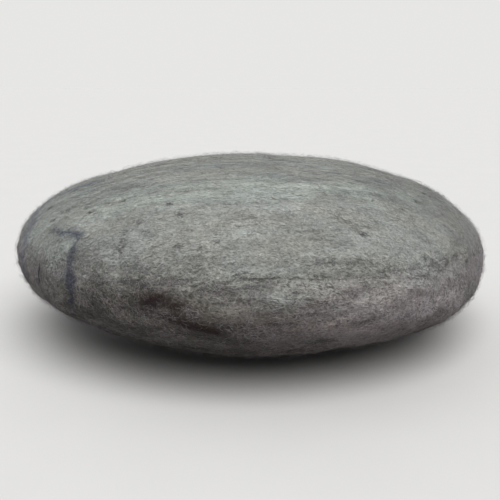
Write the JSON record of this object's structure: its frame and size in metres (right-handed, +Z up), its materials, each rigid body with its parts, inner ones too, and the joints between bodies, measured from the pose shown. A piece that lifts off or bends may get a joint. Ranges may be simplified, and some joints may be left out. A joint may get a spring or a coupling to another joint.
{
  "type": "felted wool pebble cushion",
  "caption": "Free-standing pebble-shaped cushion of marled grey wool felt over a padded core, with stray blue yarn in its skin; for sitting on or display.",
  "frame": {"origin": "centre of the flat patch that the pebble rests on", "axes": "+Z up through the middle of the crown; -Y towards the front, where the corner strand shows; +X to the right seen from the front"},
  "size_m": [0.36, 0.36, 0.1309],
  "materials": {
    "upper_felt": "matte",
    "lower_felt": "matte",
    "base_felt": "matte",
    "cotton": "matte",
    "wool_batt": "matte",
    "binding_wool": "matte",
    "blue_yarn": "matte",
    "dark_yarn": "matte",
    "brown_wool": "matte"
  },
  "bodies": {
    "root": {"core_batt_bottom": "wool_batt", "core_batt_lower": "wool_batt", "core_batt_middle": "wool_batt", "core_batt_upper": "wool_batt", "core_batt_top": "wool_batt", "liner_lower_panel": "cotton", "liner_upper_panel": "cotton", "binding_yarn": "binding_wool", "base_felt_lower": "base_felt", "base_felt_upper": "base_felt", "felt_skin_lower": "lower_felt", "felt_skin_upper": "upper_felt", "corner_strand": "blue_yarn", "shoulder_strand": "blue_yarn", "dark_thread": "dark_yarn", "dark_tuft_large": "brown_wool", "dark_tuft_small": "brown_wool"}
  },
  "joints": []
}
